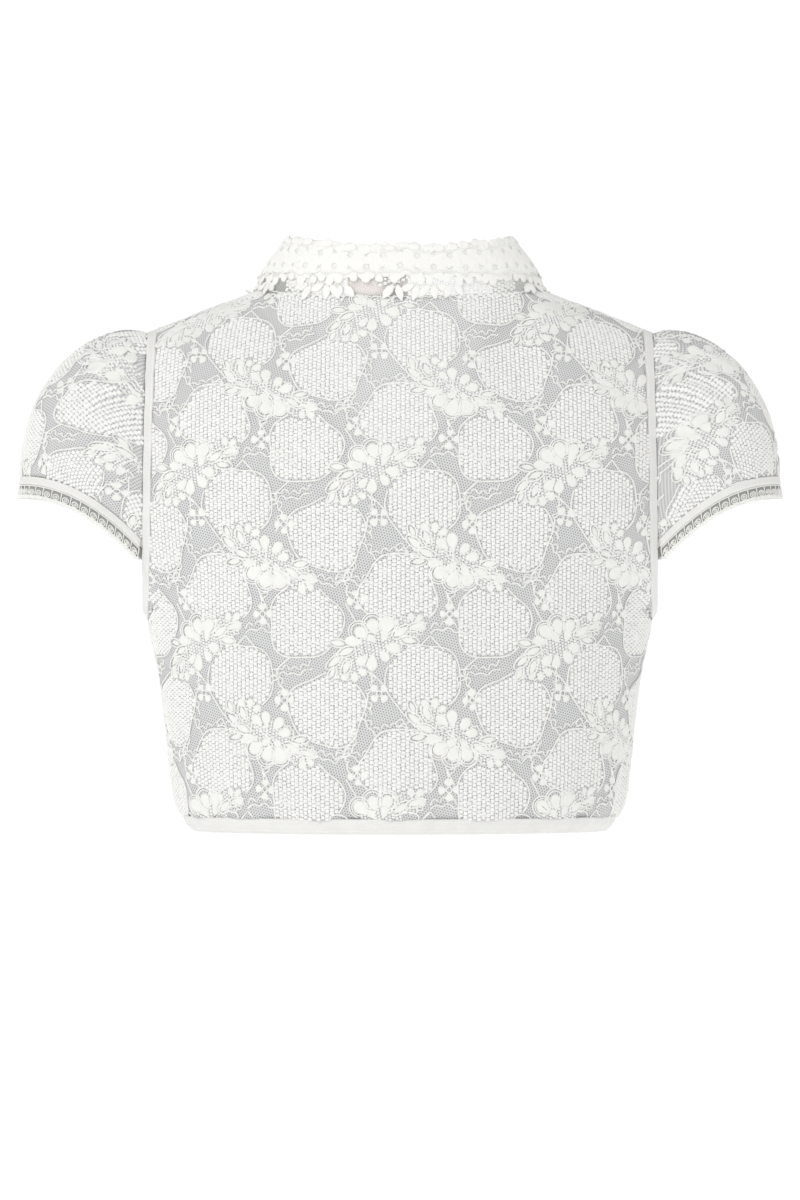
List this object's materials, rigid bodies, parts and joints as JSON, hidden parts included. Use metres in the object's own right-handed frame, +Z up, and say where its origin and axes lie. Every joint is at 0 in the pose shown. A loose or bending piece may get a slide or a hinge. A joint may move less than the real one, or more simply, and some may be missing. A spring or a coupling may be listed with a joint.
{
  "type": "dirndl blouse",
  "caption": "Cropped ivory lace dirndl blouse with a high lace collar at the back and short puffed sleeves.",
  "frame": {"origin": "on the centre line, level with the two points where the shoulder seams meet the neckline, in the plane of the side seams", "axes": "+X to the wearer's left, +Y to the back of the garment, +Z up"},
  "size_m": [0.5056, 0.2305, 0.3922],
  "materials": {
    "lace": "semi-sheer floral lace on fine net, matte with soft highlights on the raised threads",
    "guipure": "dense raised cotton lace, matte",
    "cotton_band": "plain woven cotton, matte",
    "button": "satin shirt button",
    "label": "blank satin ribbon, pale"
  },
  "bodies": {
    "root": {"back": "lace", "front_left": "lace", "front_right": "lace", "sleeve_left": "lace", "sleeve_right": "lace", "collar": "guipure", "armhole_binding_left": "cotton_band", "armhole_binding_right": "cotton_band", "cuff_band_left": "cotton_band", "cuff_band_right": "cotton_band", "cuff_edging_left_back": "guipure", "cuff_edging_left_front": "guipure", "cuff_edging_right_back": "guipure", "cuff_edging_right_front": "guipure", "hem_casing": "cotton_band", "button_placket": "cotton_band", "button_1": "button", "button_2": "button", "button_3": "button", "button_4": "button", "button_5": "button", "neck_label": "label"}
  },
  "joints": []
}
